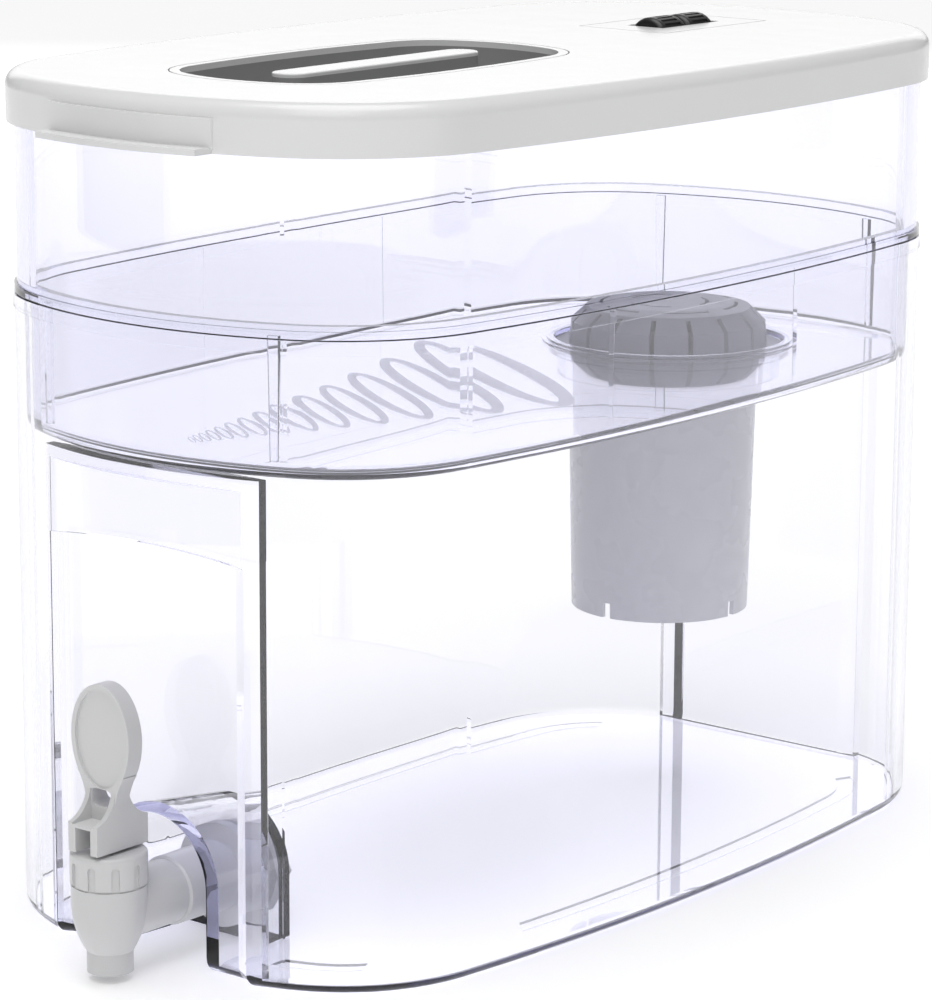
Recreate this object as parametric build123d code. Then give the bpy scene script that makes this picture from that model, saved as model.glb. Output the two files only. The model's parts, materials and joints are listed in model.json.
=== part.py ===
from build123d import *
import os
from math import atan2, cos, hypot, pi, sin, sqrt

# Countertop water dispenser. Millimetres, +Z up. The origin is the middle of the
# flat base, on the plane that it rests on, and the spigot points along -Y.

# ---- driving dimensions ----------------------------------------------------

# body outline: an oval of eight tangent arcs, measured at the tank's rim bead
half_length = 160.0
half_width = 89.0
side_radius = 852.0
end_radius = 132.5
corner_radius = 53.7

# lower tank
tank_height = 188.0
tank_wall = 3.0
tank_floor = 3.0
bead_height = 4.0
bead_proud = 0.5
tank_edge_radius = 5.0

# upper reservoir
reservoir_rise = 62.0
reservoir_wall = 4.7
reservoir_inset = 1.3
rim_flange_height = 2.6
ledge_height = 3.5
nest_clearance = 0.4
basin_depth = 40.0
basin_floor = 2.6
basin_edge_radius = 5.0
rib_width = 3.2
rib_depth = 1.3
rib_side_y = 46.0

# front and back recesses in the tank
recess_half_width = 37.7
recess_below_basin = 0.4
panel_depth = 6.0
lower_panel_drop = 20.1
panel_arch_rise = 2.0
upper_panel_inset = 0.6
lower_panel_extra = 2.6
lower_panel_half_width = 32.5
panel_back_wall = 4.4

# alcove around the spigot shank
alcove_mouth_radius = 20.6
alcove_mouth_arch_z = 25.0
alcove_end_radius = 17.5
alcove_end_arch_z = 22.5
alcove_length = 41.0

# channel ring moulded in the underside
foot_inset = 18.0
foot_width = 5.6
foot_depth = 0.8
foot_gap = 9.0
back_gap_start = 68.0
back_gap_sweep = 44.0
side_gap_start = -66.0
side_gap_sweep = 21.0

# lid
lid_height = 14.8
lid_plate = 3.0
lid_proud = 1.0
lid_skirt = 1.7
lid_edge_radius = 4.5
lid_rim_height = 6.0
lid_rim_wall = 1.8
rim_clearance = 0.4
lip_half_width = 30.5
lip_proud = 6.5
lip_height = 1.8
pad_half_width = 31.0
pad_proud = 0.9
pad_height = 8.0

# refill hatch
hatch_from_front = 105.5
hatch_half_length = 67.0
hatch_half_width = 36.5
hatch_gap = 0.5
hatch_rim_height = 1.8
hatch_rim_width = 2.9
hatch_ledge = 1.1
dish_wall = 1.5
dish_depth = 9.5
grip_length = 87.5
grip_shift = 2.0
grip_width = 11.6
grip_cap_height = 1.2
grip_below_top = 0.3

# filter reminder
reminder_from_back = 65.5
plate_length = 54.0
plate_width = 34.0
plate_height = 1.2
plate_gap = 0.45
wheel_radius = 7.5
wheel_length = 14.0
wheel_gap = 0.6
wheel_end_gap = 1.0
slot_inset = 0.3
wheel_proud = 2.8
wheel_tooth = 0.5
teeth = 24
axle_radius = 1.5
axle_fit = 0.05
housing_wall = 1.6

# filter and its well
filter_from_back = 69.9
well_flange_width = 3.8
well_flange_rise = 3.8
well_collar_wall = 2.5
well_collar_drop = 10.5
well_step_wall = 1.4
well_step_height = 3.4
well_seat_drop = 1.6
well_seat_width = 3.8
well_clearance = 2.3
cartridge_radius = 30.9
cartridge_taper = 1.9
cartridge_length = 84.9
cartridge_wall = 1.6
seal_height = 1.3
cap_flange_height = 1.6
cap_overlap = 1.1
cap_height = 14.2
cap_crown_inset = 5.5
cap_wall = 1.8
cap_slots = 16
cap_slot_phase = 4.5
notch_count = 4
notch_width = 3.0
notch_height = 5.0
screen_height = 1.0

# spigot
spigot_overhang = 10.3
shank_z = 19.8
nozzle_radius = 6.75
nozzle_bottom = 2.0
nozzle_top = 8.3
barrel_radius = 11.0
barrel_top = 28.0
water_bore = 4.5
chamber_radius = 8.3
seat_z = 13.0
bonnet_radius = 11.2
bonnet_height = 10.0
bonnet_plug_height = 3.5
bonnet_flutes = 10
flute_depth = 0.8
bonnet_groove = 0.6
shank_radius = 9.5
sleeve_radius = 10.3
stub_length = 23.3
shank_flange_radius = 15.5
shank_flange = 3.5
thread_radius = 8.0
hole_clearance = 0.3
washer_height = 2.5
inner_washer_height = 1.7
nut_corner_radius = 14.5
nut_height = 6.0
thread_beyond_nut = 3.0

# valve and lever
stem_radius = 2.5
stem_clearance = 0.3
seal_cup_radius = 7.4
seal_cup_height = 4.0
spring_radius = 4.6
spring_wire = 0.5
spring_turns = 5
spring_pocket_radius = 6.2
pin_radius = 1.3
pin_fit = 0.05
pin_cover = 1.2
stem_over_pin = 1.9
block_gap = 1.0
block_height = 8.6
pin_height = 4.4
block_width = 11.4
block_length = 20.6
lever_slot = 5.9
paddle_half_width = 11.3
paddle_rise = 7.4
paddle_length = 32.0
paddle_thickness = 5.5
paddle_offset = 0.15
paddle_rim = 1.5
paddle_sink = 0.9

# ---- places that follow from the dimensions --------------------------------

reservoir_top = tank_height + reservoir_rise
basin_floor_z = tank_height - basin_depth
recess_top = basin_floor_z - tank_wall - recess_below_basin
lower_panel_top = recess_top - lower_panel_drop
panel_arch_radius = (recess_half_width**2 + panel_arch_rise**2) / (2 * panel_arch_rise)
spigot_y = -half_length - spigot_overhang
seam_y = spigot_y + stub_length
hatch_centre_y = -half_length + hatch_from_front
reminder_y = half_length - reminder_from_back
filter_y = half_length - filter_from_back
front_panel_y = -half_length + panel_depth
lower_panel_y = front_panel_y + lower_panel_extra
inner_panel_y = lower_panel_y + panel_back_wall
alcove_end_y = -half_length + alcove_length
tank_outer = -bead_proud
tank_inner = tank_outer - tank_wall
basin_outer = tank_inner - nest_clearance
basin_inner = basin_outer - reservoir_wall
upper_outer = -reservoir_inset
upper_inner = upper_outer - reservoir_wall
floor_top = basin_floor_z + basin_floor
lid_top = reservoir_top + lid_plate
lid_bottom = lid_top - lid_height
hatch_rim_z = lid_top - hatch_rim_height
wheel_z = lid_top + wheel_proud - wheel_radius
wheel_pitch = wheel_length + wheel_gap
barrel_z = shank_z
slot_length = 2 * wheel_length + wheel_gap + 2 * wheel_end_gap
slot_width = 2 * (wheel_radius - slot_inset)
well_bore_radius = cartridge_radius + well_clearance
well_mouth_radius = well_bore_radius + well_seat_width
well_collar_radius = well_bore_radius + well_collar_wall
well_step_radius = well_mouth_radius + well_step_wall
well_flange_radius = well_mouth_radius + well_flange_width
well_flange_top = basin_floor_z + well_flange_rise
well_collar_bottom = basin_floor_z - well_collar_drop
well_seat_z = basin_floor_z - well_seat_drop
cartridge_foot_radius = cartridge_radius - cartridge_taper
cartridge_bottom = well_seat_z - cartridge_length
cap_radius = cartridge_radius + cap_overlap
cap_crown_radius = cap_radius - cap_crown_inset
bonnet_top = barrel_top + bonnet_height
block_bottom = bonnet_top + block_gap
block_top = block_bottom + block_height
pin_z = block_bottom + pin_height
paddle_bottom = block_top + paddle_rise
paddle_top = paddle_bottom + paddle_length
flange_front_y = alcove_end_y - washer_height - shank_flange
nut_start_y = alcove_end_y + tank_wall + inner_washer_height


# ---- outlines ---------------------------------------------------------------


def oval(grow=0.0, half_l=half_length, half_w=half_width, scale=1.0):
    """Oval face of eight tangent arcs, offset outward by grow."""
    side_r = side_radius * scale
    end_r = end_radius * scale
    corner_r = corner_radius * scale
    side_c = Vector(half_w - side_r, 0)
    end_c = Vector(0, half_l - end_r)
    between = (end_c - side_c).length
    reach_side = side_r - corner_r
    reach_end = end_r - corner_r
    along = (reach_side**2 - reach_end**2 + between**2) / (2 * between)
    across = sqrt(reach_side**2 - along**2)
    unit = (end_c - side_c).normalized()
    corner_c = side_c + unit * along + Vector(-unit.Y, unit.X) * across
    side_dir = (corner_c - side_c).normalized()
    end_dir = (corner_c - end_c).normalized()
    side_pt = corner_c + side_dir * (corner_r + grow)
    end_pt = corner_c + end_dir * (corner_r + grow)
    corner_pt = corner_c + (side_dir + end_dir).normalized() * (corner_r + grow)
    edges = []
    for sx in (1, -1):
        edges.append(
            ThreePointArc(
                (sx * side_pt.X, -side_pt.Y), (sx * (half_w + grow), 0), (sx * side_pt.X, side_pt.Y)
            )
        )
    for sy in (1, -1):
        edges.append(
            ThreePointArc((end_pt.X, sy * end_pt.Y), (0, sy * (half_l + grow)), (-end_pt.X, sy * end_pt.Y))
        )
        for sx in (1, -1):
            edges.append(
                ThreePointArc(
                    (sx * side_pt.X, sy * side_pt.Y),
                    (sx * corner_pt.X, sy * corner_pt.Y),
                    (sx * end_pt.X, sy * end_pt.Y),
                )
            )
    return Face(Wire(edges))


def oval_prism(grow, low, high):
    """Body-shaped prism between two heights."""
    return extrude(Pos(0, 0, low) * oval(grow), high - low)


def block(x0, x1, y0, y1, z0, z1):
    """Box from its two corners."""
    return Pos((x0 + x1) / 2, (y0 + y1) / 2, (z0 + z1) / 2) * Box(x1 - x0, y1 - y0, z1 - z0)


def rod(radius, z0, z1, x=0.0, y=0.0):
    """Upright cylinder between two heights."""
    return Pos(x, y, (z0 + z1) / 2) * Cylinder(radius, z1 - z0)


def rod_y(radius, y0, y1, z, x=0.0):
    """Cylinder along Y."""
    return Pos(x, (y0 + y1) / 2, z) * Rot(90, 0, 0) * Cylinder(radius, y1 - y0)


def rod_x(radius, x0, x1, y, z):
    """Cylinder along X."""
    return Pos((x0 + x1) / 2, y, z) * Rot(0, 90, 0) * Cylinder(radius, x1 - x0)


def tube(outer, inner, z0, z1, x=0.0, y=0.0):
    """Upright ring."""
    return rod(outer, z0, z1, x, y) - rod(inner, z0 - 1, z1 + 1, x, y)


def turned(points, y=0.0):
    """Solid turned about the upright axis at y from (radius, height) points."""
    profile = make_face(Plane.XZ * Polyline(*points, close=True))
    return Pos(0, y, 0) * revolve(profile, Axis.Z)


# ---- lower tank -------------------------------------------------------------


def panel_outline(far):
    """Plan of a recess: a flat panel whose sloped borders run out through the body's face."""
    border = recess_half_width - lower_panel_half_width
    edge_x = lower_panel_half_width + 2 * border
    edge_y = lower_panel_y - 2 * lower_panel_extra
    return Polyline(
        (-edge_x, edge_y),
        (-lower_panel_half_width, lower_panel_y),
        (lower_panel_half_width, lower_panel_y),
        (edge_x, edge_y),
        (edge_x, -far),
        (-edge_x, -far),
        close=True,
    )


def front_recess():
    """Flat upper panel over a deeper lower panel with sloped borders."""
    far = half_length + 40
    edge = recess_half_width - upper_panel_inset
    upper = block(-edge, edge, -far, front_panel_y, -1, recess_top)
    lower = extrude(Pos(0, 0, -1) * make_face(panel_outline(far)), lower_panel_top + 1)
    return upper + (lower & rod_y(panel_arch_radius, -far, 0, lower_panel_top - panel_arch_radius))


def back_recess():
    """Recess in the back end, as wide, deep and tall as the front one."""
    plan = Rot(0, 0, 180) * make_face(panel_outline(half_length + 40))
    return extrude(Pos(0, 0, -1) * plan, recess_top + 1)


def inner_facet():
    """Flat inside wall behind the front recess."""
    edge = recess_half_width + tank_wall
    return block(-edge, edge, -half_length - 40, inner_panel_y, -1, recess_top + tank_wall)


def arch(y, radius, centre_z):
    """Arch-topped upright outline across the Y axis."""
    wire = Wire(
        [
            Line((-radius, y, -1), (radius, y, -1)),
            Line((radius, y, -1), (radius, y, centre_z)),
            ThreePointArc((radius, y, centre_z), (0, y, centre_z + radius), (-radius, y, centre_z)),
            Line((-radius, y, centre_z), (-radius, y, -1)),
        ]
    )
    return Face(wire)


def alcove(grow):
    """Arched pocket that narrows towards the wall that holds the shank."""
    mouth = arch(-half_length, alcove_mouth_radius + grow, alcove_mouth_arch_z)
    end = arch(alcove_end_y + grow, alcove_end_radius + grow, alcove_end_arch_z)
    return loft([mouth, end])


def wedge(start, sweep):
    """Upright sector about the body's middle, in degrees from +X."""
    reach = 3 * half_length
    first = start * pi / 180
    last = (start + sweep) * pi / 180
    outline = Polyline(
        (0, 0), (reach * cos(first), reach * sin(first)), (reach * cos(last), reach * sin(last)), close=True
    )
    return extrude(Pos(0, 0, -2) * make_face(outline), foot_depth + 3)


def foot_channel():
    """Shallow channel in the underside: a long stretch on each side and a short one at each front corner."""
    ring = oval_prism(-foot_inset, -1, foot_depth) - oval_prism(-foot_inset - foot_width, -2, foot_depth + 1)
    ring -= wedge(back_gap_start, back_gap_sweep)
    ring -= wedge(side_gap_start, side_gap_sweep)
    ring -= wedge(180 - side_gap_start - side_gap_sweep, side_gap_sweep)
    front = alcove_mouth_radius + tank_wall + foot_gap
    return ring - block(-front, front, -half_length, alcove_end_y + foot_gap, -2, foot_depth + 1)


def lower_tank():
    shell = oval_prism(tank_outer, 0, tank_height)
    shell -= front_recess() + back_recess()
    shell = fillet(shell.faces().sort_by(Axis.Z)[0].edges(), tank_edge_radius)
    shell += oval_prism(0, tank_height - bead_height, tank_height)
    shell -= alcove(0)
    hollow = oval_prism(tank_inner, tank_floor, tank_height + 1)
    hollow -= inner_facet()
    hollow -= Rot(0, 0, 180) * inner_facet()
    hollow -= alcove(tank_wall)
    shell -= hollow
    hole = rod_y(thread_radius + hole_clearance, alcove_end_y - 1, alcove_end_y + tank_wall + 1, shank_z)
    return shell - hole - foot_channel()


# ---- upper reservoir --------------------------------------------------------


def basin_ribs():
    """Tapered upright ribs inside the basin wall, four along the sides and four near the corners."""
    low = floor_top + 2
    high = tank_height
    corner_angle = 70.3
    ribs = []
    places = []
    for sx in (1, -1):
        for sy in (1, -1):
            places.append((sx * (half_width + basin_inner), sy * rib_side_y, 0 if sx > 0 else 180))
            x = sx * (end_radius + basin_inner) * cos(corner_angle * pi / 180)
            y_c = half_length - end_radius
            y = sy * (y_c + (end_radius + basin_inner) * sin(corner_angle * pi / 180))
            turn = atan2(y - sy * y_c, x) * 180 / pi
            places.append((x, y, turn))
    profile = make_face(
        Plane.YZ
        * Polyline(
            (-rib_width / 3, low), (rib_width / 3, low), (rib_width / 2, high), (-rib_width / 2, high), close=True
        )
    )
    for x, y, turn in places:
        rib = Pos(x, y, 0) * Rot(0, 0, turn) * Pos(-rib_depth, 0, 0) * extrude(profile, rib_depth + 2)
        ribs.append(rib)
    return ribs


def upper_reservoir():
    basin = oval_prism(basin_outer, basin_floor_z, tank_height + 1)
    basin = fillet(basin.faces().sort_by(Axis.Z)[0].edges(), basin_edge_radius)
    body = basin + oval_prism(-bead_proud, tank_height, tank_height + rim_flange_height)
    body += oval_prism(upper_outer, tank_height, reservoir_top)
    body -= oval_prism(basin_inner, floor_top, tank_height + ledge_height + 1)
    body -= oval_prism(upper_inner, tank_height + ledge_height, reservoir_top + 1)
    for rib in basin_ribs():
        body += rib
    body += rod(well_flange_radius, basin_floor_z, well_flange_top, 0, filter_y)
    body += rod(well_step_radius, basin_floor_z - well_step_height, basin_floor_z + 1, 0, filter_y)
    body += rod(well_collar_radius, well_collar_bottom, basin_floor_z + 1, 0, filter_y)
    body -= rod(well_mouth_radius, well_seat_z, well_flange_top + 1, 0, filter_y)
    body -= rod(well_bore_radius, well_collar_bottom - 1, well_seat_z + 1, 0, filter_y)
    step = well_flange_radius - 1.6
    body -= tube(well_flange_radius + 1, step, well_flange_top - 0.8, well_flange_top + 1, 0, filter_y)
    return body


# ---- lid and hatch ----------------------------------------------------------


def hatch_oval(grow=0.0):
    """Outline of the refill hatch, the body's oval at a smaller scale."""
    scale = hatch_half_length / half_length
    return Pos(0, hatch_centre_y, 0) * oval(grow, hatch_half_length, hatch_half_width, scale)


def hatch_prism(grow, low, high):
    return extrude(Pos(0, 0, low) * hatch_oval(grow), high - low)


def lid():
    cover = oval_prism(lid_proud, lid_bottom, lid_top)
    cover = fillet(cover.faces().sort_by(Axis.Z)[-1].edges(), lid_edge_radius)
    pad = oval_prism(lid_proud + pad_proud, lid_bottom + lip_height - 0.4, lid_bottom + lip_height + pad_height)
    pad &= block(-pad_half_width, pad_half_width, -half_length - 20, -half_length / 2, 0, lid_top)
    lip = oval_prism(lid_proud + lip_proud, lid_bottom, lid_bottom + lip_height)
    lip &= block(-lip_half_width, lip_half_width, -half_length - 20, -half_length / 2, 0, lid_top)
    cover += pad
    cover += lip
    cover -= oval_prism(lid_proud - lid_skirt, lid_bottom - 1, reservoir_top)
    rim_outer = upper_inner - rim_clearance
    rim = oval_prism(rim_outer, reservoir_top - lid_rim_height, reservoir_top + 0.5)
    rim -= oval_prism(rim_outer - lid_rim_wall, reservoir_top - lid_rim_height - 1, reservoir_top + 1)
    cover += rim
    cover += hatch_prism(2.0, reservoir_top - 4, reservoir_top + 0.5)
    cover -= hatch_prism(hatch_gap, hatch_rim_z, lid_top + 1)
    cover -= hatch_prism(-hatch_ledge, reservoir_top - 5, lid_top)
    plate_x = plate_width / 2 + plate_gap
    plate_y = plate_length / 2 + plate_gap
    cover -= block(
        -plate_x, plate_x, reminder_y - plate_y, reminder_y + plate_y, lid_top - plate_height, lid_top + 1
    )
    hole_x = wheel_radius + 0.9 + housing_wall + plate_gap
    hole_y = slot_length / 2 + housing_wall + plate_gap
    return cover - block(-hole_x, hole_x, reminder_y - hole_y, reminder_y + hole_y, lid_bottom, lid_top)


def hatch_rim():
    """White outer ring of the hatch, resting on the lid's ledge."""
    ring = hatch_prism(0, hatch_rim_z, lid_top)
    return ring - hatch_prism(-hatch_rim_width, hatch_rim_z - 1, lid_top + 1)


def hatch_dish():
    """Grey tray under the rim, with a wall that passes through the lid."""
    wall = dish_wall
    outer = -hatch_rim_width + wall
    tray = hatch_prism(outer, lid_top - dish_depth - wall, hatch_rim_z)
    tray -= hatch_prism(-hatch_rim_width, lid_top - dish_depth, lid_top)
    return tray


def grip_outline(low, high, shrink=0.0):
    """Round-ended bar along Y in the middle of the hatch."""
    slot = SlotOverall(grip_length - 2 * shrink, grip_width - 2 * shrink)
    return extrude(Pos(0, hatch_centre_y + grip_shift, low) * Rot(0, 0, 90) * slot, high - low)


def hatch_grip():
    top = lid_top - grip_below_top - grip_cap_height
    return grip_outline(lid_top - dish_depth, top)


def grip_cap():
    top = lid_top - grip_below_top
    cap = grip_outline(top - grip_cap_height, top)
    return fillet(cap.faces().sort_by(Axis.Z)[-1].edges(), 0.5)


# ---- filter reminder --------------------------------------------------------


def reminder_plate():
    half_x = plate_width / 2
    half_y = plate_length / 2
    low = lid_top - plate_height
    plate = block(-half_x, half_x, reminder_y - half_y, reminder_y + half_y, low, lid_top)
    slot = block(
        -slot_width / 2,
        slot_width / 2,
        reminder_y - slot_length / 2,
        reminder_y + slot_length / 2,
        low - 1,
        lid_top + 1,
    )
    return plate - slot


def reminder_housing():
    """Open-topped tray that hangs under the plate and carries the axle."""
    half_x = wheel_radius + 0.9
    half_y = slot_length / 2
    top = lid_top - plate_height
    low = wheel_z - wheel_radius - 0.9 - housing_wall
    wall = housing_wall
    tray = block(-half_x - wall, half_x + wall, reminder_y - half_y - wall, reminder_y + half_y + wall, low, top)
    tray -= block(-half_x, half_x, reminder_y - half_y, reminder_y + half_y, low + wall, top + 1)
    tray -= rod_y(axle_radius, reminder_y - half_y - wall - 1, reminder_y + half_y + wall + 1, wheel_z)
    return tray


def wheel_axle():
    half = slot_length / 2 + housing_wall
    return rod_y(axle_radius, reminder_y - half, reminder_y + half, wheel_z)


def thumbwheel(side):
    """Barrel-shaped wheel with fine teeth; side is -1 for the front wheel and 1 for the back one."""
    y = reminder_y + side * wheel_pitch / 2
    wheel = rod_y(wheel_radius, y - wheel_length / 2, y + wheel_length / 2, wheel_z)
    wheel = fillet(wheel.edges().filter_by(GeomType.CIRCLE), 2.0)
    for i in range(teeth):
        turn = 360 * i / teeth
        groove = rod_y(wheel_tooth, y - wheel_length / 2 + 3, y + wheel_length / 2 - 3, 0, wheel_radius)
        wheel -= Pos(0, 0, wheel_z) * Rot(0, turn, 0) * groove
    return wheel - rod_y(axle_radius + axle_fit, y - wheel_length, y + wheel_length, wheel_z)


# ---- filter cartridge -------------------------------------------------------

seal_top = well_seat_z + seal_height
cap_base = seal_top + cap_flange_height
cap_top = cap_base + cap_height


def cartridge_cap():
    """Slotted dome on a flange that sits in the well's mouth."""
    shoulder = 0.55 * cap_height
    cap = turned(
        [
            (0, seal_top),
            (well_mouth_radius - nest_clearance, seal_top),
            (well_mouth_radius - nest_clearance, cap_base),
            (cap_radius, cap_base),
            (cap_radius - 0.6, cap_base + shoulder),
            (cap_crown_radius, cap_top - 1.6),
            (cap_crown_radius * 0.75, cap_top - 0.4),
            (0, cap_top),
        ],
        filter_y,
    )
    hollow = turned(
        [
            (0, seal_top - 1),
            (cartridge_radius - cartridge_wall, seal_top - 1),
            (cap_radius - 0.6 - cap_wall, cap_base + shoulder - cap_wall),
            (cap_crown_radius - cap_wall, cap_top - 1.6 - cap_wall),
            (0, cap_top - cap_wall),
        ],
        filter_y,
    )
    cap -= hollow
    slot = block(cap_crown_radius - 1.5, cap_radius + 2, -0.8, 0.8, cap_base + 0.8, cap_top - 2.4)
    for i in range(cap_slots):
        cap -= Pos(0, filter_y, 0) * Rot(0, 0, 360 * i / cap_slots + cap_slot_phase) * slot
    for share, count, sweep in ((0.83, 6, 42), (0.47, 3, 70)):
        for i in range(count):
            cap -= Pos(0, filter_y, 0) * Rot(0, 0, 360 * i / count) * arc_slot(share * cap_crown_radius, sweep)
    return cap


def arc_slot(radius, sweep):
    """Narrow curved slot through the dome's crown."""
    width = 1.2
    ring = tube(radius + width / 2, radius - width / 2, cap_top - 6, cap_top + 1)
    wedge = make_face(
        Polyline(
            (0, 0),
            (2 * radius, 0),
            (2 * radius * cos(sweep * pi / 180), 2 * radius * sin(sweep * pi / 180)),
            close=True,
        )
    )
    return ring & extrude(Pos(0, 0, cap_top - 7) * wedge, 9)


def cartridge_body():
    """Tapered cup, open at the foot rim notches."""
    wall = cartridge_wall
    cup = turned(
        [
            (cartridge_foot_radius - wall, cartridge_bottom),
            (cartridge_foot_radius, cartridge_bottom),
            (cartridge_radius, seal_top),
            (cartridge_radius - wall, seal_top),
        ],
        filter_y,
    )
    shelf_z = cartridge_bottom + notch_height + screen_height
    shelf = rod(cartridge_foot_radius - 0.5, shelf_z, shelf_z + wall, 0, filter_y)
    for i in range(6):
        hole = Rot(0, 0, 60 * i) * rod(4.0, shelf_z - 1, shelf_z + wall + 1, 16)
        shelf -= Pos(0, filter_y, 0) * hole
    cup += shelf
    notch = block(
        cartridge_foot_radius - 3,
        cartridge_foot_radius + 2,
        -notch_width / 2,
        notch_width / 2,
        cartridge_bottom - 1,
        cartridge_bottom + notch_height,
    )
    for i in range(notch_count):
        cup -= Pos(0, filter_y, 0) * Rot(0, 0, 360 * i / notch_count) * notch
    return cup


def media_radius(z):
    """Inside radius of the tapered cup at a height."""
    share = (z - cartridge_bottom) / (seal_top - cartridge_bottom)
    outer = cartridge_foot_radius + share * (cartridge_radius - cartridge_foot_radius)
    return outer - cartridge_wall - 0.1


media_low = cartridge_bottom + notch_height + screen_height + cartridge_wall
media_high = seal_top - 8


def screen(z):
    """Fine round mesh disc across the cartridge."""
    return rod(media_radius(z), z, z + screen_height, 0, filter_y)


def filter_media():
    low = media_low + screen_height
    return turned([(0, low), (media_radius(low), low), (media_radius(low), media_high), (0, media_high)], filter_y)


def cartridge_seal():
    return tube(well_mouth_radius - nest_clearance, cartridge_radius, well_seat_z, seal_top, 0, filter_y)


# ---- spigot -----------------------------------------------------------------


def spigot_body():
    """Nozzle, bulging barrel and the stub that the shank screws into."""
    taper = ThreePointArc((nozzle_radius + 0.5, nozzle_top + 0.6), (9.7, 14.5), (barrel_radius, 22.5))
    profile = Wire(
        [
            Line((0, nozzle_bottom), (nozzle_radius, nozzle_bottom)),
            Line((nozzle_radius, nozzle_bottom), (nozzle_radius, nozzle_top)),
            Line((nozzle_radius, nozzle_top), (nozzle_radius + 0.5, nozzle_top + 0.6)),
            taper,
            Line((barrel_radius, 22.5), (barrel_radius, barrel_top)),
            Line((barrel_radius, barrel_top), (0, barrel_top)),
            Line((0, barrel_top), (0, nozzle_bottom)),
        ]
    )
    barrel = Pos(0, spigot_y, 0) * revolve(Plane.XZ * Face(profile), Axis.Z)
    stub = rod_y(shank_radius, spigot_y, seam_y, barrel_z)
    stub -= rod(bonnet_radius + 0.3, barrel_top, barrel_top + bonnet_height, 0, spigot_y)
    body = barrel + stub
    body -= rod(water_bore, nozzle_bottom - 1, seat_z + 1, 0, spigot_y)
    body -= rod(chamber_radius, seat_z, barrel_top + 1, 0, spigot_y)
    return body - rod_y(water_bore, spigot_y + chamber_radius - 2, seam_y + 1, barrel_z)


def spigot_shank():
    """Sleeve, flange and threaded end that passes through the alcove wall."""
    end_y = nut_start_y + nut_height + thread_beyond_nut
    flange_back_y = flange_front_y + shank_flange
    shank = rod_y(sleeve_radius, seam_y, flange_front_y, shank_z)
    shank = chamfer(shank.faces().sort_by(Axis.Y)[0].edges(), 0.6)
    shank += rod_y(shank_flange_radius, flange_front_y, flange_back_y, shank_z)
    shank += rod_y(thread_radius, flange_back_y, end_y, shank_z)
    return shank - rod_y(water_bore, seam_y - 1, end_y + 1, shank_z)


def ring_y(outer, inner, y0, y1):
    """Washer around the shank."""
    return rod_y(outer, y0, y1, shank_z) - rod_y(inner, y0 - 1, y1 + 1, shank_z)


def hex_nut():
    blank = extrude(Plane.XZ.offset(-nut_start_y) * RegularPolygon(nut_corner_radius, 6), -nut_height)
    nut = Pos(0, 0, shank_z) * blank
    return nut - rod_y(thread_radius + 0.1, nut_start_y - 1, nut_start_y + nut_height + 1, shank_z)


def spigot_bonnet():
    """Fluted collar that closes the barrel and guides the valve stem."""
    bonnet = rod(bonnet_radius, barrel_top, bonnet_top, 0, spigot_y)
    bonnet = fillet(bonnet.faces().sort_by(Axis.Z)[-1].edges(), 1.0)
    plug_bottom = barrel_top - bonnet_plug_height
    bonnet += rod(chamber_radius - 0.1, plug_bottom, barrel_top, 0, spigot_y)
    flute = SlotOverall(2 * bonnet_height - 5, 2.4)
    cutter = extrude(Plane.YZ * Rot(0, 0, 90) * flute, 2)
    for i in range(bonnet_flutes):
        turn = 360 * i / bonnet_flutes
        bonnet -= Pos(0, spigot_y, barrel_top) * Rot(0, 0, turn) * Pos(bonnet_radius - flute_depth, 0, 0) * cutter
    groove_top = barrel_top + bonnet_groove
    bonnet -= tube(bonnet_radius + 1, bonnet_radius - bonnet_groove, barrel_top - 1, groove_top, 0, spigot_y)
    bonnet -= rod(spring_pocket_radius, plug_bottom - 1, bonnet_top - 4, 0, spigot_y)
    return bonnet - rod(stem_radius + stem_clearance, plug_bottom, bonnet_top + 1, 0, spigot_y)


stem_shoulder_z = seat_z + seal_cup_height
spring_top_z = bonnet_top - 4


def valve_stem():
    stem = rod(stem_radius, stem_shoulder_z - 2, pin_z + stem_over_pin, 0, spigot_y)
    stem += rod(spring_radius + 1, stem_shoulder_z, stem_shoulder_z + 1.5, 0, spigot_y)
    return stem - rod_x(pin_radius, -10, 10, spigot_y, pin_z)


def valve_seal():
    cup = rod(seal_cup_radius, seat_z, stem_shoulder_z, 0, spigot_y)
    return cup - rod(stem_radius, stem_shoulder_z - 2, stem_shoulder_z + 1, 0, spigot_y)


def valve_spring():
    """Coil between the stem's shoulder and the bonnet."""
    low = stem_shoulder_z + 1.5 + spring_wire
    high = spring_top_z - spring_wire
    path = Helix((high - low) / spring_turns, high - low, spring_radius)
    section = Plane(path @ 0, z_dir=path % 0) * Circle(spring_wire)
    coil = sweep(section, path=path, is_frenet=True)
    return Pos(0, spigot_y, low) * coil


def lever_pin():
    half = block_width / 2 - pin_cover
    return rod_x(pin_radius, -half, half, spigot_y, pin_z)


def lever_side():
    """Side outline of the lever: rocker block, curved shoulders and paddle stem."""
    front = spigot_y - block_length / 2
    back = spigot_y + block_length / 2
    stem_front = spigot_y - paddle_thickness / 2 - paddle_offset
    stem_back = stem_front + paddle_thickness
    top = paddle_bottom + 3
    edges = [
        Line((front, block_bottom), (back, block_bottom)),
        Line((back, block_bottom), (back, block_top)),
        ThreePointArc((back, block_top), (stem_back + 2.2, block_top + 3.4), (stem_back, top)),
        Line((stem_back, top), (stem_front, top)),
        ThreePointArc((stem_front, top), (stem_front - 2.2, block_top + 3.2), (front, block_top)),
        Line((front, block_top), (front, block_bottom)),
    ]
    return Face(Wire(edges))


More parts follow.
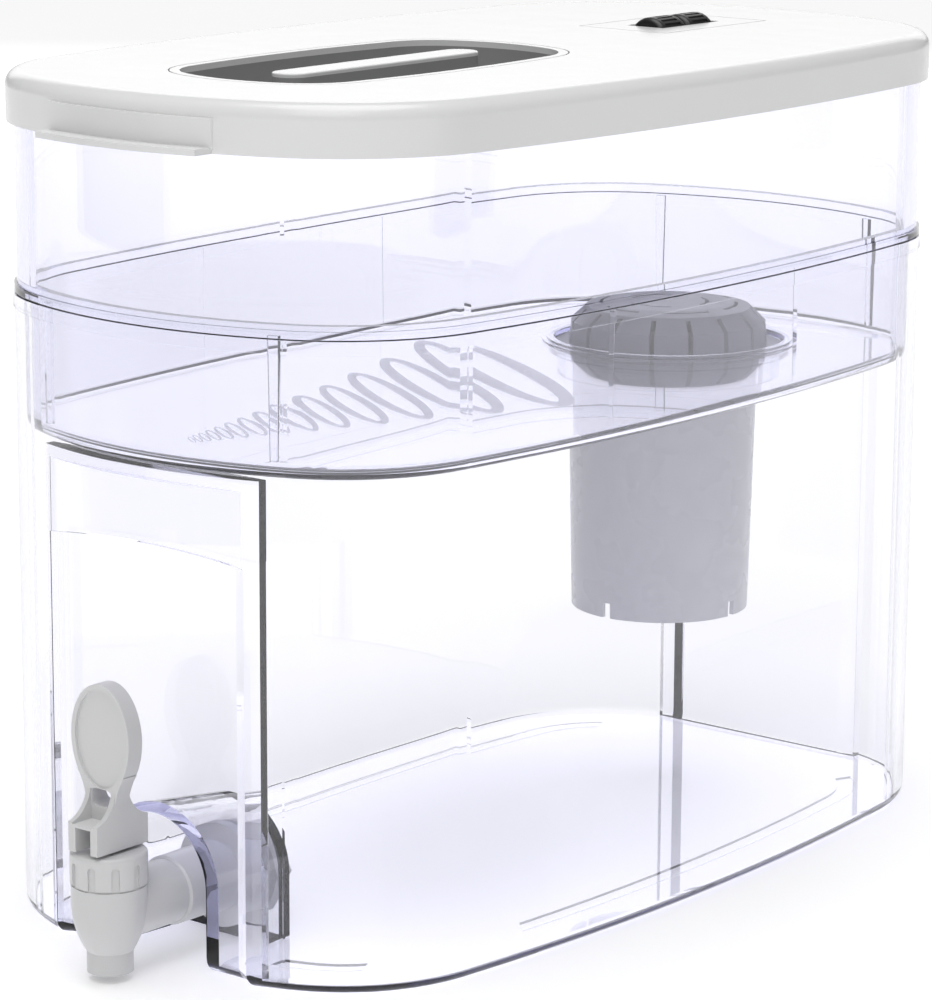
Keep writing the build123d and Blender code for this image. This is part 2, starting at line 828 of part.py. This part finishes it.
def spigot_lever():
    """Forked rocker block that carries an oval paddle with a raised rim."""
    half = block_width / 2
    lever = extrude(Plane.YZ.offset(-half) * lever_side(), block_width)
    paddle_y = spigot_y - paddle_thickness / 2 - paddle_offset
    centre_z = (paddle_bottom + paddle_top) / 2
    half_height = (paddle_top - paddle_bottom) / 2
    paddle = Plane.XZ * Pos(0, centre_z) * Ellipse(paddle_half_width, half_height)
    neck = Wire(
        [
            Line((-half, block_top - 1), (half, block_top - 1)),
            ThreePointArc((half, block_top - 1), (half + 0.3, paddle_bottom - 1), (half + 3.4, paddle_bottom + 6)),
            Line((half + 3.4, paddle_bottom + 6), (-half - 3.4, paddle_bottom + 6)),
            ThreePointArc((-half - 3.4, paddle_bottom + 6), (-half - 0.3, paddle_bottom - 1), (-half, block_top - 1)),
        ]
    )
    plate = extrude(paddle, -paddle_thickness) + extrude(Plane.XZ * Face(neck), -paddle_thickness)
    lever += Pos(0, paddle_y, 0) * plate
    face_cut = Plane.XZ * Pos(0, centre_z) * Ellipse(paddle_half_width - paddle_rim, half_height - paddle_rim)
    lever -= Pos(0, paddle_y - 1, 0) * extrude(face_cut, -paddle_sink - 1)
    window = block(-half + 2.0, half - 2.0, paddle_y - 20, paddle_y + 20, block_top + 3.6, paddle_bottom + 1.4)
    lever -= fillet(window.edges().filter_by(Axis.Y), 1.4)
    ramp = block(-half + 1.6, half - 1.6, paddle_y - 20, paddle_y + 0.4, block_top - 0.6, paddle_bottom + 1)
    lever -= ramp
    back_end = spigot_y + block_length / 2 - 3
    lever -= block(
        -lever_slot / 2, lever_slot / 2, spigot_y - block_length, back_end, block_bottom - 1, block_top - 0.2 - 1.2
    )
    hole = block_width / 2 - pin_cover + pin_fit
    return lever - rod_x(pin_radius + pin_fit, -hole, hole, spigot_y, pin_z)


# ---- writing the pieces -----------------------------------------------------


def main():
    pieces = {
        "lower_tank": lower_tank(),
        "upper_reservoir": upper_reservoir(),
        "lid": lid(),
        "hatch_rim": hatch_rim(),
        "hatch_dish": hatch_dish(),
        "hatch_grip": hatch_grip(),
        "grip_cap": grip_cap(),
        "reminder_plate": reminder_plate(),
        "reminder_housing": reminder_housing(),
        "wheel_axle": wheel_axle(),
        "month_wheel": thumbwheel(-1),
        "day_wheel": thumbwheel(1),
        "cartridge_cap": cartridge_cap(),
        "cartridge_body": cartridge_body(),
        "cartridge_seal": cartridge_seal(),
        "bottom_screen": screen(media_low),
        "filter_media": filter_media(),
        "top_screen": screen(media_high),
        "spigot_body": spigot_body(),
        "spigot_bonnet": spigot_bonnet(),
        "spigot_shank": spigot_shank(),
        "outer_washer": ring_y(
            shank_flange_radius - 0.5, thread_radius + hole_clearance, alcove_end_y - washer_height, alcove_end_y
        ),
        "inner_washer": ring_y(
            nut_corner_radius - 1, thread_radius + hole_clearance, alcove_end_y + tank_wall, nut_start_y
        ),
        "hex_nut": hex_nut(),
        "spigot_lever": spigot_lever(),
        "lever_pin": lever_pin(),
        "valve_stem": valve_stem(),
        "valve_seal": valve_seal(),
        "valve_spring": valve_spring(),
    }
    os.makedirs("parts", exist_ok=True)
    for name, solid in pieces.items():
        export_step(solid, f"parts/{name}.step")


main()
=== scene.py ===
import json
from math import cos, pi, radians, sin

import bmesh
import bpy
from mathutils import Matrix, Vector


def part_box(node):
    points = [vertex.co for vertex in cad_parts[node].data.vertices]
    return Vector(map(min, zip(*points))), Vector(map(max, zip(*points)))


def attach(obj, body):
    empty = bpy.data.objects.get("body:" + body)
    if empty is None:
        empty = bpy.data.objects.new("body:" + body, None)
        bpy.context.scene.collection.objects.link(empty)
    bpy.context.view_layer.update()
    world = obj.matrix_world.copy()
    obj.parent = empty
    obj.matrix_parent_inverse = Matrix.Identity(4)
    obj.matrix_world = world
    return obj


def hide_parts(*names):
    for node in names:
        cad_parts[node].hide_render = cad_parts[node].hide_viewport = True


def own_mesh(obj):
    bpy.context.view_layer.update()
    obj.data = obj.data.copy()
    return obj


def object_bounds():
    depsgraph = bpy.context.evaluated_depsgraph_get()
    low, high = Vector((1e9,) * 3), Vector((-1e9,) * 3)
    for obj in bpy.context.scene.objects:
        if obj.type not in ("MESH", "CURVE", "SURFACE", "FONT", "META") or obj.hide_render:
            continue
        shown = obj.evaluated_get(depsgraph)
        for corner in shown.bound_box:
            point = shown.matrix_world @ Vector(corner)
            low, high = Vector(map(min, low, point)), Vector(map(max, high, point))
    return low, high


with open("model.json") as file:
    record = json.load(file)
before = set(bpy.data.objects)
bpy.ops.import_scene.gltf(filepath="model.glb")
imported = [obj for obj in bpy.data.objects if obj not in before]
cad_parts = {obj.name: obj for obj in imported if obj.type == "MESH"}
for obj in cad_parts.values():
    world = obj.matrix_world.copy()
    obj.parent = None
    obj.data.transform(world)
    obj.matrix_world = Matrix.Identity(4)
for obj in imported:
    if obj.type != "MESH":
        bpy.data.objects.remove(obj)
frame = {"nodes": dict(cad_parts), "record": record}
cad_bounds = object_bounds()

# Countertop water dispenser. Metres unless a comment says millimetres, +Z up, the spigot
# points along -Y.

MM = 0.001

# ---- node helpers --------------------------------------------------------------------


def new_material(name):
    """A node material with a Principled shader wired to the output."""
    material = bpy.data.materials.new(name)
    material.use_nodes = True
    tree = material.node_tree
    tree.nodes.clear()
    output = tree.nodes.new("ShaderNodeOutputMaterial")
    shader = tree.nodes.new("ShaderNodeBsdfPrincipled")
    tree.links.new(shader.outputs["BSDF"], output.inputs["Surface"])
    return material, tree, shader, output


def noise(tree, scale, detail=3.0, roughness=0.5):
    """Object-space noise texture."""
    coords = tree.nodes.new("ShaderNodeTexCoord")
    texture = tree.nodes.new("ShaderNodeTexNoise")
    texture.inputs["Scale"].default_value = scale
    texture.inputs["Detail"].default_value = detail
    texture.inputs["Roughness"].default_value = roughness
    tree.links.new(coords.outputs["Object"], texture.inputs["Vector"])
    return texture.outputs["Fac"]


def spread(tree, value, low, high):
    """Maps a 0-1 value onto a range."""
    node = tree.nodes.new("ShaderNodeMapRange")
    node.inputs["To Min"].default_value = low
    node.inputs["To Max"].default_value = high
    tree.links.new(value, node.inputs["Value"])
    return node.outputs["Result"]


def two_colours(tree, value, first, second):
    """Colour that goes from first to second with a 0-1 value."""
    node = tree.nodes.new("ShaderNodeMix")
    node.data_type = "RGBA"
    node.inputs["A"].default_value = (*first, 1)
    node.inputs["B"].default_value = (*second, 1)
    tree.links.new(value, node.inputs["Factor"])
    return node.outputs["Result"]


def bump(tree, shader, value, strength, distance):
    """Bump on the shader from a height value."""
    node = tree.nodes.new("ShaderNodeBump")
    node.inputs["Strength"].default_value = strength
    node.inputs["Distance"].default_value = distance
    tree.links.new(value, node.inputs["Height"])
    tree.links.new(node.outputs["Normal"], shader.inputs["Normal"])


def mix_surfaces(tree, share, first, second, output):
    """Goes from the first surface to the second with a 0-1 share, on to the output."""
    mix = tree.nodes.new("ShaderNodeMixShader")
    tree.links.new(share, mix.inputs["Fac"])
    tree.links.new(first.outputs["BSDF"], mix.inputs[1])
    tree.links.new(second.outputs["BSDF"], mix.inputs[2])
    tree.links.new(mix.outputs["Shader"], output.inputs["Surface"])


def add_mesh(name, form):
    """Object in the scene made from a bmesh, which is freed."""
    mesh = bpy.data.meshes.new(name)
    form.to_mesh(mesh)
    form.free()
    made = bpy.data.objects.new(name, mesh)
    bpy.context.scene.collection.objects.link(made)
    return made


# ---- materials -----------------------------------------------------------------------

CLOUD_SCALE = 18.0
GLOSS_SCALE = 60.0
GRAIN_SCALE = 900.0
GRAIN_DEPTH = 0.00002
GRAIN_STRENGTH = 0.25
FINE_GRAIN_SCALE = 700.0
FINE_GRAIN_DEPTH = 0.000002
MOULDED_IOR = 1.5

FLOW_SCALE = 6.0
FLOW_LIGHT = (0.992, 0.992, 1.0)
FLOW_DARK = (0.998, 0.998, 1.0)
CLEAR_IOR = 1.49
POLISH_SCALE = 30.0
POLISH_ROUGHEST = 0.015
LAMP_TINT = (0.97, 0.97, 0.985, 1)

PRINT_SCALE = 400.0
PRINT_ROUGHNESS = 0.6
PRINT_DARK = (0.52, 0.52, 0.60)
PRINT_LIGHT = (0.60, 0.60, 0.68)
PRINT_THIN = 0.30
PRINT_THICK = 0.50


def moulded_plastic(
    name, light, dark, gloss_low, gloss_high, grain=GRAIN_SCALE, grain_depth=GRAIN_DEPTH
):
    """Opaque moulded plastic: cloudy colour, uneven gloss and a fine spark-eroded grain."""
    material, tree, shader, _ = new_material(name)
    cloud = noise(tree, CLOUD_SCALE, 4.0, 0.6)
    tree.links.new(two_colours(tree, cloud, light, dark), shader.inputs["Base Color"])
    gloss = spread(tree, noise(tree, GLOSS_SCALE), gloss_low, gloss_high)
    tree.links.new(gloss, shader.inputs["Roughness"])
    bump(tree, shader, noise(tree, grain, 2.0), GRAIN_STRENGTH, grain_depth)
    shader.inputs["IOR"].default_value = MOULDED_IOR
    return material


def clear_plastic(name, absorbed, density):
    """Polished clear plastic: faint flow marks, colour from its depth, and lamps shine through."""
    material, tree, shader, output = new_material(name)
    flow = noise(tree, FLOW_SCALE, 2.0)
    tree.links.new(two_colours(tree, flow, FLOW_LIGHT, FLOW_DARK), shader.inputs["Base Color"])
    shader.inputs["Transmission Weight"].default_value = 1.0
    shader.inputs["IOR"].default_value = CLEAR_IOR
    polish = spread(tree, noise(tree, POLISH_SCALE), 0.0, POLISH_ROUGHEST)
    tree.links.new(polish, shader.inputs["Roughness"])
    path = tree.nodes.new("ShaderNodeLightPath")
    through = tree.nodes.new("ShaderNodeBsdfTransparent")
    through.inputs["Color"].default_value = LAMP_TINT
    mix_surfaces(tree, path.outputs["Is Shadow Ray"], shader, through, output)
    depth = tree.nodes.new("ShaderNodeVolumeAbsorption")
    depth.inputs["Color"].default_value = (*absorbed, 1)
    depth.inputs["Density"].default_value = density
    tree.links.new(depth.outputs["Volume"], output.inputs["Volume"])
    return material


def frosted_print(name):
    """Thin frosted marking: mostly see-through, milky where the grain is thick."""
    material, tree, shader, output = new_material(name)
    shader.inputs["Roughness"].default_value = PRINT_ROUGHNESS
    grain = noise(tree, PRINT_SCALE)
    tree.links.new(two_colours(tree, grain, PRINT_DARK, PRINT_LIGHT), shader.inputs["Base Color"])
    through = tree.nodes.new("ShaderNodeBsdfTransparent")
    cover = spread(tree, grain, PRINT_THIN, PRINT_THICK)
    mix_surfaces(tree, cover, through, shader, output)
    return material


# One row for each opaque slot in the record: lighter colour, darker colour, lowest and
# highest roughness, and where it is finer than usual, the grain's scale and depth.
OPAQUE = {
    "white_shell": (
        (0.86, 0.86, 0.86), (0.84, 0.84, 0.842), 0.2, 0.28, FINE_GRAIN_SCALE, FINE_GRAIN_DEPTH
    ),
    "grey_insert": ((0.36, 0.36, 0.36), (0.33, 0.33, 0.335), 0.4, 0.55),
    "black_wheel": ((0.012, 0.012, 0.012), (0.02, 0.02, 0.02), 0.3, 0.45),
    "filter_cap_plastic": ((0.58, 0.575, 0.62), (0.53, 0.525, 0.57), 0.3, 0.42),
    "filter_cup_plastic": ((0.87, 0.87, 0.89), (0.84, 0.84, 0.86), 0.2, 0.35),
    "spigot_plastic": ((0.74, 0.74, 0.745), (0.71, 0.71, 0.715), 0.25, 0.38),
    "washer_rubber": ((0.5, 0.5, 0.51), (0.45, 0.45, 0.46), 0.6, 0.75),
    "steel_pin": ((0.55, 0.55, 0.56), (0.5, 0.5, 0.52), 0.25, 0.4),
    "mesh_cloth": ((0.8, 0.8, 0.8), (0.7, 0.7, 0.7), 0.7, 0.9),
    "media_grain": ((0.06, 0.05, 0.045), (0.02, 0.02, 0.02), 0.8, 0.95),
}
MATERIALS = {"clear_shell": clear_plastic("clear_shell", (0.1, 0.1, 0.7), 11.0)}
MATERIALS.update({slot: moulded_plastic(slot, *row) for slot, row in OPAQUE.items()})
RESERVOIR_CLEAR = clear_plastic("reservoir_clear", (0.05, 0.05, 0.72), 17.0)
RIPPLE_PRINT = frosted_print("ripple_print")


def dress_cad_nodes():
    """Gives each CAD node the material of its slot, and the reservoir a deeper tint."""
    for part in frame["record"]["subparts"]:
        node = frame["nodes"][part["node"]]
        material = MATERIALS[part["material_slot"]]
        if part["node"] == "upper_reservoir":
            material = RESERVOIR_CLEAR
        if not node.material_slots:
            node.data.materials.append(material)
        for slot in node.material_slots:
            slot.material = material


dress_cad_nodes()

# ---- ripple marking on the basin floor, in millimetres and degrees -----------------------

RIPPLES = 14
RIPPLE_STEPS = 64
RIPPLE_START = Vector((-3.0, -129.0))
RIPPLE_END = Vector((-4.0, 8.0))
RIPPLE_HALF_FIRST = 4.0
RIPPLE_HALF_LAST = 58.0
RIPPLE_TURN = 148.0
RIPPLE_FLATNESS = 0.2
RIPPLE_STROKE = 0.13
RIPPLE_STROKE_ACROSS = 0.8
RIPPLE_LIFT = 0.06
BASIN_FLOOR = 150.6


def ripple_marking():
    """Overlapping flat rings that grow towards the filter's well."""
    form = bmesh.new()
    for i in range(RIPPLES):
        share = i / (RIPPLES - 1)
        half = RIPPLE_HALF_FIRST * (RIPPLE_HALF_LAST / RIPPLE_HALF_FIRST) ** share
        travel = (half - RIPPLE_HALF_FIRST) / (RIPPLE_HALF_LAST - RIPPLE_HALF_FIRST)
        centre = RIPPLE_START.lerp(RIPPLE_END, travel)
        height = BASIN_FLOOR + RIPPLE_LIFT * (1 + share)
        turn = radians(RIPPLE_TURN)
        loops = []
        for stroke in (0, RIPPLE_STROKE * half):
            long_r = half - stroke
            short_r = RIPPLE_FLATNESS * half - stroke * RIPPLE_STROKE_ACROSS
            loop = []
            for k in range(RIPPLE_STEPS):
                angle = 2 * pi * k / RIPPLE_STEPS
                u = long_r * cos(angle)
                v = short_r * sin(angle)
                x = centre.x + u * cos(turn) - v * sin(turn)
                y = centre.y + u * sin(turn) + v * cos(turn)
                loop.append(form.verts.new((x * MM, y * MM, height * MM)))
            loops.append(loop)
        for k in range(RIPPLE_STEPS):
            after = (k + 1) % RIPPLE_STEPS
            form.faces.new((loops[0][k], loops[0][after], loops[1][after], loops[1][k]))
    piece = add_mesh("ripple_marking", form)
    piece.data.materials.append(RIPPLE_PRINT)
    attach(piece, "reservoir")


ripple_marking()

# ---- valve spring (it shortens as the lever lifts the valve; drawn here at rest) ---------

SPRING_TURNS = 5
SPRING_WIRE = 0.5 * MM
SPRING_STEPS = 40
WIRE_SIDES = 12


def valve_coil():
    """Steel coil between the stem's shoulder and the bonnet, carried with the tank."""
    low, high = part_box("valve_spring")
    centre_x = (low[0] + high[0]) / 2
    centre_y = (low[1] + high[1]) / 2
    coil_radius = (high[0] - low[0]) / 2 - SPRING_WIRE
    start_z = low[2] + SPRING_WIRE
    rise = high[2] - low[2] - 2 * SPRING_WIRE
    slope = rise / (2 * pi * coil_radius * SPRING_TURNS)
    form = bmesh.new()
    rings = []
    for i in range(SPRING_TURNS * SPRING_STEPS + 1):
        angle = 2 * pi * i / SPRING_STEPS
        height = start_z + rise * i / (SPRING_TURNS * SPRING_STEPS)
        out = Vector((cos(angle), sin(angle), 0))
        along = Vector((-sin(angle), cos(angle), slope)).normalized()
        side = along.cross(out)
        middle = Vector((centre_x, centre_y, height)) + out * coil_radius
        ring = []
        for k in range(WIRE_SIDES):
            turn = 2 * pi * k / WIRE_SIDES
            outwards = middle + out * SPRING_WIRE * cos(turn)
            ring.append(form.verts.new(outwards + side * SPRING_WIRE * sin(turn)))
        rings.append(ring)
    for first, second in zip(rings, rings[1:]):
        for k in range(WIRE_SIDES):
            after = (k + 1) % WIRE_SIDES
            form.faces.new((first[k], first[after], second[after], second[k])).smooth = True
    form.faces.new(rings[0])
    form.faces.new(rings[-1])
    bmesh.ops.recalc_face_normals(form, faces=form.faces)
    coil = add_mesh("valve_coil", form)
    coil.data.materials.append(MATERIALS["steel_pin"])
    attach(coil, "tank")
    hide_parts("valve_spring")
    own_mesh(coil)


valve_coil()

# ---- camera, light and floor ---------------------------------------------------------

CAMERA_AZIMUTH = 39.25
CAMERA_ELEVATION = 12.48
CAMERA_ROLL = 0.265
CAMERA_DISTANCE = 1.2394
CAMERA_TARGET = Vector((0.0, -0.01026, 0.1128))
CAMERA_LENS = 143.5
CAMERA_SENSOR = 36
CAMERA_REACH = 50

FLOOR_RADIUS = 12
FLOOR_SEGMENTS = 96
FLOOR_GAP = 0.0005
FLOOR_ROUGHNESS = 0.9
FLOOR_GLOW = 0.24

FLAG_WIDTH = 0.7
FLAG_HEIGHT = 1.0
FLAG_AIM = (0, 0, 0.15)
FLAG_ROUGHNESS = 0.95

WORLD_STRENGTH = 0.12
TRANSMISSION_BOUNCES = 13
MAX_BOUNCES = 14


def add_camera():
    """Camera fitted to the view of the object from its front right."""
    data = bpy.data.cameras.new("camera")
    data.lens = CAMERA_LENS
    data.sensor_width = CAMERA_SENSOR
    data.clip_end = CAMERA_REACH
    camera = bpy.data.objects.new("camera", data)
    bpy.context.scene.collection.objects.link(camera)
    az = radians(CAMERA_AZIMUTH)
    el = radians(CAMERA_ELEVATION)
    back = Vector((sin(az) * cos(el), -cos(az) * cos(el), sin(el)))
    right = Vector((cos(az), sin(az), 0))
    up = back.cross(right)
    turn = Matrix.Rotation(radians(CAMERA_ROLL), 3, "Z")
    axes = Matrix((right, up, back)).transposed() @ turn
    place = Matrix.Translation(CAMERA_TARGET + back * CAMERA_DISTANCE)
    camera.matrix_world = place @ axes.to_4x4()
    bpy.context.scene.camera = camera


def add_floor():
    """Wide white floor just under the base, with a faint glow that keeps it white."""
    form = bmesh.new()
    bmesh.ops.create_circle(form, cap_ends=True, segments=FLOOR_SEGMENTS, radius=FLOOR_RADIUS)
    floor = add_mesh("floor", form)
    floor.location.z = cad_bounds[0][2] - FLOOR_GAP
    material, tree, shader, _ = new_material("floor_paint")
    paint = two_colours(tree, noise(tree, 3.0), (0.93, 0.93, 0.93), (0.95, 0.95, 0.95))
    tree.links.new(paint, shader.inputs["Base Color"])
    shader.inputs["Roughness"].default_value = FLOOR_ROUGHNESS
    shader.inputs["Emission Color"].default_value = (1, 1, 1, 1)
    shader.inputs["Emission Strength"].default_value = FLOOR_GLOW
    floor.data.materials.append(material)


def add_area(name, place, aim, size, power):
    """Rectangular lamp that points at its aim."""
    data = bpy.data.lights.new(name, "AREA")
    data.shape = "RECTANGLE"
    data.size, data.size_y = size
    data.energy = power
    light = bpy.data.objects.new(name, data)
    bpy.context.scene.collection.objects.link(light)
    light.location = place
    light.rotation_euler = (Vector(aim) - Vector(place)).to_track_quat("-Z", "Y").to_euler()


def add_sun(name, strength, spread_degrees):
    """Soft light straight from above, even over the whole floor."""
    data = bpy.data.lights.new(name, "SUN")
    data.energy = strength
    data.angle = radians(spread_degrees)
    light = bpy.data.objects.new(name, data)
    bpy.context.scene.collection.objects.link(light)


def add_flag(name, place):
    """Dark card, unseen by the camera, that draws the edges of the clear walls."""
    form = bmesh.new()
    x, y = FLAG_WIDTH / 2, FLAG_HEIGHT / 2
    corners = ((-x, -y, 0), (x, -y, 0), (x, y, 0), (-x, y, 0))
    form.faces.new([form.verts.new(corner) for corner in corners])
    card = add_mesh(name, form)
    card.location = place
    card.rotation_euler = (Vector(FLAG_AIM) - Vector(place)).to_track_quat("Z", "Y").to_euler()
    material, tree, shader, _ = new_material(name + "_cloth")
    cloth = two_colours(tree, noise(tree, 20.0), (0.01, 0.01, 0.01), (0.02, 0.02, 0.02))
    tree.links.new(cloth, shader.inputs["Base Color"])
    shader.inputs["Roughness"].default_value = FLAG_ROUGHNESS
    card.data.materials.append(material)
    card.visible_camera = False
    card.visible_diffuse = False
    card.visible_shadow = False


def add_world():
    """Even, dim white surroundings."""
    world = bpy.data.worlds.new("studio")
    world.use_nodes = True
    bpy.context.scene.world = world
    background = world.node_tree.nodes["Background"]
    background.inputs["Color"].default_value = (1, 1, 1, 1)
    background.inputs["Strength"].default_value = WORLD_STRENGTH


add_camera()
add_floor()
add_world()
add_flag("flag_right", (1.1, 0.35, 0.5))
add_flag("flag_left", (-0.8, -0.85, 0.5))
add_area("key", place=(0.7, -1.3, 1.6), aim=(0, 0, 0.12), size=(1.2, 1.2), power=9)
add_area("back", place=(-1.35, 1.65, 0.95), aim=(0, 0, 0.2), size=(2.6, 1.1), power=12)
add_sun("sky", strength=2.0, spread_degrees=50)

scene = bpy.context.scene
scene.view_settings.view_transform = "Standard"
scene.cycles.transmission_bounces = TRANSMISSION_BOUNCES
scene.cycles.max_bounces = MAX_BOUNCES
scene.cycles.use_denoising = True
